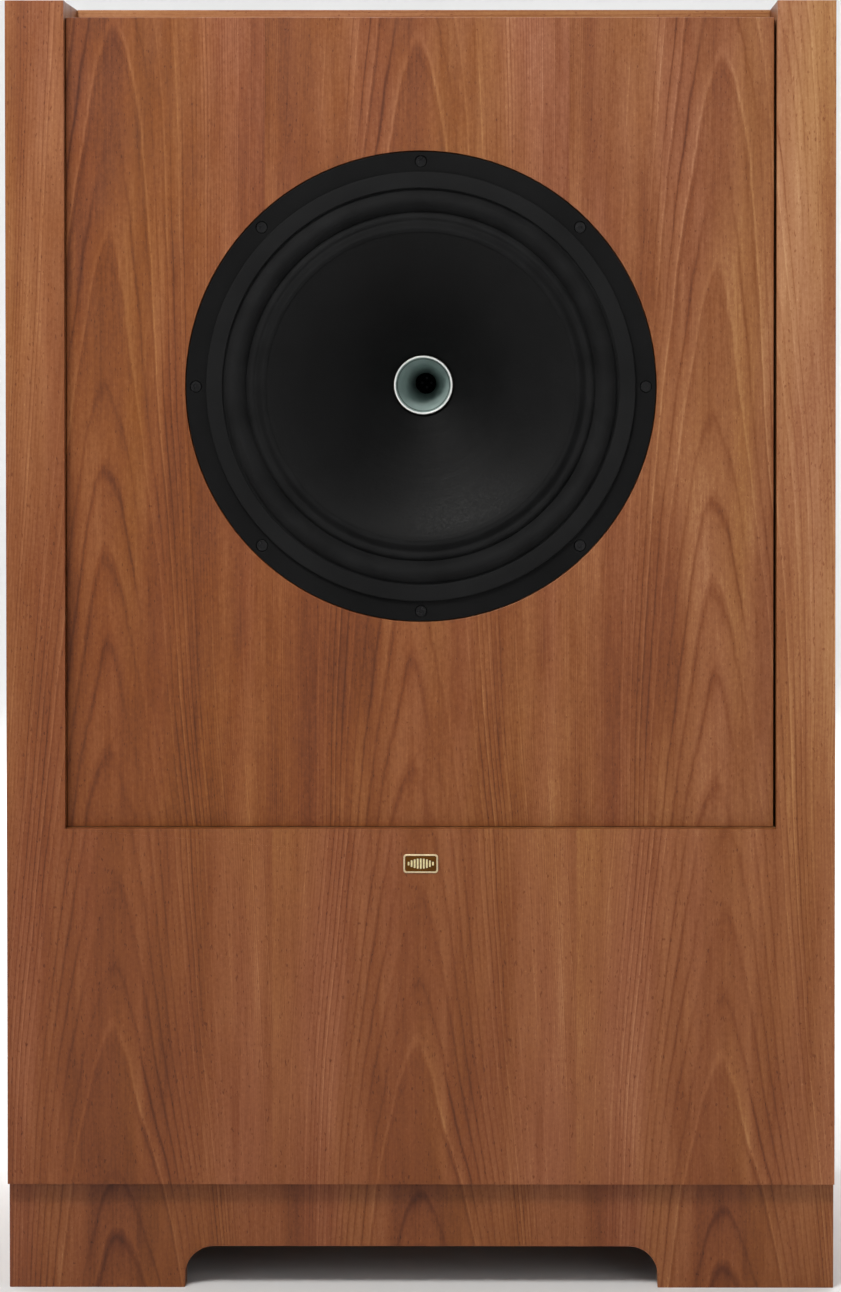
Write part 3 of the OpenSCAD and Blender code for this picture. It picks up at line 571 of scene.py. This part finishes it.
def horn_metal():
    """Turned light alloy, dulled: rings from the tool, one scored line coloured dark as painted
    shade, a green-grey cast.
    """
    s = Shader("horn_metal", roughness=0.42, metallic=0.35)
    radius, _, depth = radial_place(s)
    rings = s.noise(s.join(s.math("MULTIPLY", radius, 1200), s.math("MULTIPLY", depth, 1200), 0.0),
                    1.0, detail=3, roughness=0.7)
    cloud = s.noise(s.place, 70, detail=3)
    cast = s.ramp(cloud, [(0.3, (0.34, 0.44, 0.42)), (0.7, (0.46, 0.56, 0.54))])
    rim = s.remap(depth, HORN_MOUTH_Y + 0.10 * MM, HORN_MOUTH_Y + 0.25 * MM, 1, 0)
    # Painted shade: the scored groove is coloured near black, standing in for the shade inside it.
    from_line = s.math("ABSOLUTE", s.math("SUBTRACT", radius, GROOVE_RADIUS))
    line = s.remap(from_line, 0.15 * MM, 0.45 * MM, 1, 0)
    scored = s.mix(line, cast, (0.05, 0.08, 0.07))
    s.colour(s.mix(rim, scored, (0.82, 0.84, 0.82)))
    s.roughness(rings, 0.34, 0.52)
    s.bump(rings, 0.04 * MM, strength=0.5)
    return s.material


def felt(name, colour):
    """Matted fibre, with tufts and paler strands."""
    s = Shader(name, roughness=0.95)
    strands = s.noise(s.place, 500, detail=5, roughness=0.75, distortion=1.5)
    tufts = s.noise(s.place, 60, detail=4)
    low, high = tuple(c * 0.5 for c in colour), tuple(c * 1.8 for c in colour)
    s.colour(s.ramp(strands, [(0.35, low), (0.68, high)]))
    s.roughness(tufts, 0.88, 1.0)
    s.bump(s.math("MULTIPLY_ADD", tufts, 2.0, strands), 1.2 * MM, strength=0.7)
    s.surface.inputs["Sheen Weight"].default_value = 0.4
    return s.material


def wound_wire(name, colour):
    """Enamelled wire wound in close turns."""
    s = Shader(name, roughness=0.3, metallic=0.9)
    _, y, z = s.split(s.place)
    turns = s.math("SINE", s.math("MULTIPLY", s.math("ADD", y, z), math.tau / WIRE_PITCH))
    cloud = s.noise(s.place, 90, detail=3)
    low, high = tuple(c * 0.7 for c in colour), tuple(min(1, c * 1.2) for c in colour)
    s.colour(s.ramp(cloud, [(0.3, low), (0.7, high)]))
    s.roughness(cloud, 0.24, 0.4)
    s.bump(turns, 0.2 * MM, strength=0.8)
    return s.material


# ---------- the cabinet ----------

def dress_cabinet():
    """Walnut on every veneered board, each with its grain the way that it runs on the object."""
    front = walnut("walnut_front", "XZY", tone=0.01, painted_light_across=0.20, rise=0.12, painted_sheen=(0.1, 0.95, 1.25))
    baffle = walnut("walnut_baffle", "XZY", seed=3.1, tone=-0.03, leaf_start=-0.128, arch=0.20,
                    contrast=1.15, painted_light_across=0.26, painted_sheen=(0.9, 0.80, 1.28))
    # The plinth is toned a little darker than the front: painted shade under the front's overhang.
    plinth = walnut("walnut_plinth", "XZY", seed=0.02, tone=-0.03, painted_light_across=0.12)
    sides = walnut("walnut_side", "YZX", seed=5.2, leaf_start=-0.22, tone=0.03, arch=0.16)
    top = walnut("walnut_top", "YXZ", seed=8.4, leaf_start=-0.12, tone=0.03, arch=0.14)
    back = walnut("walnut_back", "XZY", seed=11.7, leaf_start=-0.31, tone=0.03, arch=0.16)
    lipping = walnut("walnut_lipping", "ZXY", seed=2.3, leaf_start=1.0, tone=0.20, arch=0.02,
                     contrast=0.8)
    coats = {
        "front_frame": front, "baffle": baffle, "plinth_front": plinth,
        "left_side": sides, "right_side": sides, "plinth_left": sides, "plinth_right": sides,
        "left_post": sides, "right_post": sides, "plinth_back": back, "back_panel": back,
        "bottom_panel": back,
        "top_panel": top, "top_ledge": top, "top_lipping": lipping,
    }
    for node, coat in coats.items():
        dress(node, coat, edge=0.6 * MM)
    dress_all(("back_cleats", "baffle_cleats", "lower_panel", "cross_braces", "plinth_blocks",
               "crossover_board"), plywood("bare_plywood"), edge=0.8 * MM)


def dress(node, material, edge=0.0):
    """Puts one material on a carried-over CAD node, and rounds its edges by a width."""
    piece = NODES[node]
    piece.data.materials.clear()
    piece.data.materials.append(material)
    if edge:
        soften_edges(node, edge)


def dress_all(nodes, material, edge=0.0):
    """Puts one material on several CAD nodes."""
    for node in nodes:
        dress(node, material, edge)


# ---------- the driver ----------

def make_cone(material):
    """The paper cone, turned from its CAD section."""
    front, back = front_and_back("cone")
    profile = resample(front, 56) + resample(back[::-1], 56)
    cone = lathe("cone_pulp", profile, 192, smooth=60)
    finish_piece(cone, "lf_cone", "cone_paper", material, "cone")


def make_surround(material):
    """The rolled cloth edge, turned from its CAD section."""
    front, back = front_and_back("surround")
    profile = resample(front, 90) + resample(back[::-1], 90)
    surround = lathe("surround_roll", profile, 256, smooth=70)
    bend_with_cone(surround)
    surround.data.materials.append(material)
    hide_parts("surround")


def make_spider(material):
    """The corrugated cloth that centres the coil."""
    front, back = front_and_back("spider")
    profile = resample(front, 100) + resample(back[::-1], 100)
    spider = lathe("spider_cloth", profile, 128, smooth=70)
    bend_with_cone(spider)
    spider.data.materials.append(material)
    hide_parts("spider")


def bend_with_cone(piece):
    """Bakes the piece's placement into its mesh."""
    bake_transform(piece)


def make_horn(material):
    """The horn's mouth and flare, turned from the CAD bore with a rounded bright rim."""
    rings = cad_rings("hf_horn")
    bore = {}
    for radius, y in rings:
        bore[y] = min(radius, bore.get(y, radius))
    mouth_y = min(bore)

    # The bore, from the throat to just inside the mouth.
    inside = []
    for y in sorted(bore):
        if y > mouth_y + 0.5 * MM and (not inside or bore[y] < inside[-1][0]):
            inside.append((bore[y], y))
    inside.reverse()
    throat_y = inside[0][1]

    # The rim round the mouth, the wide mouth's back, and the narrower body behind it.
    lip = inside[-1][0]
    outer = max(radius for radius, y in rings)
    body = min(radius for radius, y in rings if y == throat_y and radius > bore[y] + MM)
    step_y = max(y for radius, y in rings if radius > outer - MM)
    rim = [(lip + 0.10 * MM, mouth_y + 0.35 * MM), (lip + 0.35 * MM, mouth_y + 0.06 * MM),
           (lip + 0.6 * MM, mouth_y), (outer - 0.35 * MM, mouth_y),
           (outer - 0.1 * MM, mouth_y + 0.1 * MM), (outer, mouth_y + 0.35 * MM)]
    outside = [(outer, step_y), (body, step_y), (body, throat_y)]

    flare = resample(inside, 60)
    cut = next(k for k, (radius, _) in enumerate(flare) if radius > GROOVE_RADIUS)
    flare[cut:cut] = groove(flare[cut - 1], flare[cut], half_width=0.28 * MM, depth=0.22 * MM)
    horn = lathe("horn_turned", flare + rim + outside, 192, smooth=50)
    finish_piece(horn, "cabinet", "horn_metal", material, "hf_horn")


def groove(below, above, half_width, depth):
    """The three points of a small scored line across a profile, between two of its points."""
    share = (GROOVE_RADIUS - below[0]) / (above[0] - below[0])
    middle = Vector(below).lerp(Vector(above), share)
    along = (Vector(above) - Vector(below)).normalized()
    into = Vector((-along.y, along.x))
    if into.y < 0:
        into = -into
    points = (middle - along * half_width, middle + into * depth, middle + along * half_width)
    return [tuple(point) for point in points]


def make_clamp_ring(material):
    """The fibre ring over the surround's foot, with rounded edges."""
    rings = cad_rings("surround_ring")
    low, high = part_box("surround_ring")
    inner, outer = rings[0][0], (high.x - low.x) / 2
    top, base = low.y, high.y
    edge = 0.8 * MM
    turns = [math.pi / 2 * k / 6 for k in range(7)]
    profile = [(inner + edge - edge * math.cos(a), top + edge - edge * math.sin(a)) for a in turns]
    profile += [(outer - edge + edge * math.sin(a), top + edge - edge * math.cos(a)) for a in turns]
    step = max(y for radius, y in rings if radius < inner + MM)
    foot = min(radius for radius, y in rings if y > base - 0.1 * MM)
    profile += [(outer, base), (foot, base), (foot, step), (inner, step)]
    ring = lathe("clamp_ring", profile, 256, smooth=40)
    finish_piece(ring, "cabinet", "clamp_ring", material, "surround_ring")


def dress_driver():
    """Everything that shows from the front, and the basket behind it."""
    make_cone(cone_paper())
    make_surround(doped_cloth("surround_cloth", (0.0104, 0.0106, 0.0109), roughness=0.68,
                              glue_and_shade_radius=CONE_RADIUS + 6 * MM))
    make_spider(doped_cloth("spider_weave", linear(176, 128, 66), roughness=0.7))
    make_horn(horn_metal())
    make_clamp_ring(painted("clamp_fibre", (0.0100, 0.0102, 0.0105), 0.62, grain=1400, specular=0.05))
    cast = painted("cast_frame", (0.0064, 0.0065, 0.0067), 0.5, grain=700, depth=0.08 * MM,
                   specular=0.05)
    dress_all(("chassis", "rear_cover"), cast, edge=0.4 * MM)
    dress("chassis_gasket", painted("foam_rubber", (0.02, 0.02, 0.02), 0.85, grain=2500))
    dress("driver_bolts", metal("black_oxide", (0.035, 0.035, 0.036), 0.3), edge=0.3 * MM)
    dress("phase_plug", painted("plug_black", (0.006, 0.006, 0.006), 0.5, grain=1500, specular=0.1))
    dress("hf_diaphragm", metal("dome_foil", (0.20, 0.21, 0.22), 0.34))
    dress("driver_terminals", painted("fibre_board", linear(122, 72, 40), 0.7, grain=300, wear=0.3))


def dress_motor():
    """The magnets, plates and coils of both motors."""
    plated = metal("plated_steel", (0.56, 0.55, 0.50), 0.32)
    dress_all(("top_plate", "back_plate", "hf_pole", "hf_top_plate"), plated, edge=0.5 * MM)
    ferrite = painted("ferrite", (0.045, 0.046, 0.05), 0.55, grain=500, wear=0.25)
    dress_all(("lf_magnet", "hf_magnet"), ferrite, edge=0.9 * MM)
    dress("hf_mount_ring", metal("pressed_alloy", (0.6, 0.61, 0.62), 0.36))
    dress("coil_former", painted("fibre_former", linear(44, 36, 32), 0.6, grain=1500, specular=0.1))
    dress_all(("lf_coil", "hf_coil", "inductors"), wound_wire("enamelled_copper", (0.72, 0.30, 0.12)))


# ---------- badge ----------

def rounded_outline(w, h, r):
    """Points round a rectangle with rounded corners, centred on the origin, as (x, z)."""
    points, steps = [], 8
    for k, (cx, cz) in enumerate(((1, 1), (-1, 1), (-1, -1), (1, -1))):
        for i in range(steps + 1):
            a = math.pi / 2 * (k + i / steps)
            points.append((cx * (w / 2 - r) + r * math.cos(a), cz * (h / 2 - r) + r * math.sin(a)))
    return points


def loft(name, loops, smooth=35):
    """Joins closed loops of 3-D points, capped at both ends."""
    count = len(loops[0])
    points = [p for loop in loops for p in loop]
    faces = []
    for i in range(len(loops) - 1):
        for k in range(count):
            a, b = i * count + k, i * count + (k + 1) % count
            faces.append((a, b, b + count, a + count))
    faces.append(tuple(reversed(range(count))))
    faces.append(tuple((len(loops) - 1) * count + k for k in range(count)))
    return mesh_object(name, points, faces, smooth)


def pad_loops(cx, cz, w, h, r, levels):
    """Loops of a rounded rectangle, one for each (inset, y)."""
    return [[(cx + x, y, cz + z) for x, z in rounded_outline(w - 2 * inset, h - 2 * inset,
                                                            max(r - inset, 0.1 * MM))]
            for inset, y in levels]


def make_badge():
    """A small cast plate: a rounded bright rim, a dark field, and plain raised bars."""
    low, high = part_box("badge_plate")
    w, h = high.x - low.x, high.z - low.z
    cz, y0, y1 = (low.z + high.z) / 2, low.y, high.y
    brass = badge_brass("badge_brass", (0.84, 0.68, 0.42))
    levels = [(0, y1), (0, y0 + 0.5 * MM), (0.15 * MM, y0 + 0.15 * MM), (0.5 * MM, y0),
              (0.9 * MM, y0), (1.25 * MM, y0 + 0.15 * MM), (1.4 * MM, y0 + 0.75 * MM)]
    plate = loft("badge_rim", pad_loops(0, cz, w, h, 2.5 * MM, levels), smooth=50)
    finish_piece(plate, "cabinet", "badge_brass", brass, "badge_plate")
    field_y = y0 + 0.72 * MM
    field = loft("badge_field", pad_loops(0, cz, w - 2.8 * MM, h - 2.8 * MM, 1.4 * MM, [
        (0, field_y + 0.03 * MM), (0, field_y)]))
    enamel = painted("badge_enamel", linear(88, 52, 6), 0.5, grain=3000, wear=0.3, specular=0.1)
    finish_piece(field, "cabinet", "badge_brass", enamel)
    bars = badge_brass("badge_bars_brass", (0.92, 0.82, 0.46))
    bar_w, bar_pitch = 1.5 * MM, 2.5 * MM
    for i in range(-4, 5):
        bar_h = (8.6 - 0.35 * i * i) * MM
        bar = loft(f"badge_bar_{i + 5}", pad_loops(bar_pitch * i, cz, bar_w, bar_h, 0.6 * MM, [
            (0, field_y), (0, field_y - 0.25 * MM), (0.18 * MM, field_y - 0.42 * MM)]))
        finish_piece(bar, "cabinet", "badge_brass", bars)


def badge_brass(name, colour):
    """Rubbed cast brass, darker where the polish hasn't reached."""
    s = Shader(name, roughness=0.35, metallic=0.6)
    cloud = s.noise(s.place, 600, detail=4, roughness=0.7)
    low = tuple(c * 0.7 for c in colour)
    s.colour(s.ramp(cloud, [(0.3, low), (0.6, colour)]))
    s.roughness(cloud, 0.45, 0.28)
    s.bump(cloud, 0.1 * MM, strength=0.5)
    return s.material


# ---------- lining, crossover and terminals ----------

PAD_GRID = 12 * MM
PAD_EDGE = 3            # how many steps of the grid a pad takes to thin towards its edge


def pad_dip(place, edge, thickness):
    """How far a pad's face dips: lumps everywhere, and more towards an edge, where edge is 0."""
    lump = noise.noise(place * 14) * 0.5 + noise.noise(place * 45) * 0.2 + 0.5
    return thickness * (0.12 + 0.24 * (1 - edge ** 0.5) + 0.16 * max(0, min(1, lump)))


def make_pad(name, low, high, material):
    """A cut felt pad: lumpy faces, with its edges pulled in where it is stapled."""
    size = high - low
    thin = min(range(3), key=lambda axis: size[axis])
    u, v = [axis for axis in range(3) if axis != thin]
    nu, nv = round(size[u] / PAD_GRID), round(size[v] / PAD_GRID)
    points, faces = [], []
    for layer in (0, 1):
        for i in range(nu + 1):
            for j in range(nv + 1):
                p = Vector((0, 0, 0))
                p[u] = low[u] + size[u] * i / nu
                p[v] = low[v] + size[v] * j / nv
                edge = min(i, nu - i, PAD_EDGE) / PAD_EDGE * min(j, nv - j, PAD_EDGE) / PAD_EDGE
                dip = pad_dip(p, edge, size[thin])
                p[thin] = low[thin] + dip if layer == 0 else high[thin] - dip
                points.append(p)
    row, sheet = nv + 1, (nu + 1) * (nv + 1)
    for i in range(nu):
        for j in range(nv):
            a = i * row + j
            faces.append((a, a + 1, a + row + 1, a + row))
            faces.append((sheet + a, sheet + a + row, sheet + a + row + 1, sheet + a + 1))
    rim = ([i * row for i in range(nu)] + [nu * row + j for j in range(nv)]
           + [i * row + nv for i in range(nu, 0, -1)] + [j for j in range(nv, 0, -1)])
    for k, a in enumerate(rim):
        b = rim[(k + 1) % len(rim)]
        faces.append((a, b, sheet + b, sheet + a))
    pad = mesh_object(name, points, faces, smooth=180)
    subdivision = pad.modifiers.new("soft", "SUBSURF")
    subdivision.levels = subdivision.render_levels = 1
    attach(pad, "cabinet")
    pad.data.materials.append(material)
    return pad


def solids_of(node):
    """The boxes of a CAD node's separate solids, as (low, high), worked out from its mesh."""
    mesh = NODES[node].data
    parent = list(range(len(mesh.vertices)))

    def root(i):
        while parent[i] != i:
            parent[i] = parent[parent[i]]
            i = parent[i]
        return i

    first = {}
    for vertex in mesh.vertices:
        key = tuple(round(c, 5) for c in vertex.co)
        if key in first:
            parent[root(vertex.index)] = root(first[key])
        first.setdefault(key, vertex.index)
    for edge in mesh.edges:
        parent[root(edge.vertices[0])] = root(edge.vertices[1])
    groups = {}
    for vertex in mesh.vertices:
        groups.setdefault(root(vertex.index), []).append(vertex.co)
    return [(Vector(map(min, zip(*g))), Vector(map(max, zip(*g)))) for g in groups.values()]


def make_lining():
    """One pad for each CAD solid of the felt lining."""
    grey = felt("matted_felt", (0.075, 0.075, 0.08))
    for node in ("side_lining", "back_lining"):
        for number, (low, high) in enumerate(solids_of(node), 1):
            pad = make_pad(f"{node}_pad_{number}", low, high, grey)
            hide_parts(node)


def dress_electrics():
    """Capacitors, the terminal cup with its posts and knobs, the wires and the screws."""
    dress("capacitors", painted("capacitor_tape", linear(196, 150, 52), 0.35, grain=200))
    cup = painted("cup_plastic", (0.013, 0.013, 0.014), 0.55, grain=900, depth=0.1 * MM)
    dress("terminal_cup", cup, edge=0.6 * MM)
    red = painted("red_knob", (0.42, 0.012, 0.012), 0.28, grain=500)
    dress("red_cap", red, edge=0.3 * MM)
    black = painted("black_knob", (0.016, 0.016, 0.017), 0.28, grain=500)
    dress("black_cap", black, edge=0.3 * MM)
    gold = metal("gold_plate", (0.83, 0.60, 0.27), 0.24)
    dress_all(("post_studs", "red_insert", "black_insert"), gold)
    dress("input_wires", painted("cable_jacket", (0.10, 0.012, 0.012), 0.5, grain=1200))
    dress("driver_wires", painted("cable_jacket_dark", (0.02, 0.02, 0.022), 0.5, grain=1200))
    zinc = metal("zinc_screws", (0.60, 0.60, 0.58), 0.34)
    dress_all(("back_screws", "cup_screws", "cover_screws", "t_nuts"), zinc)


make_camera()
make_lights()
make_world()
make_floor()
dress_cabinet()
dress_driver()
dress_motor()
make_badge()
make_lining()
dress_electrics()
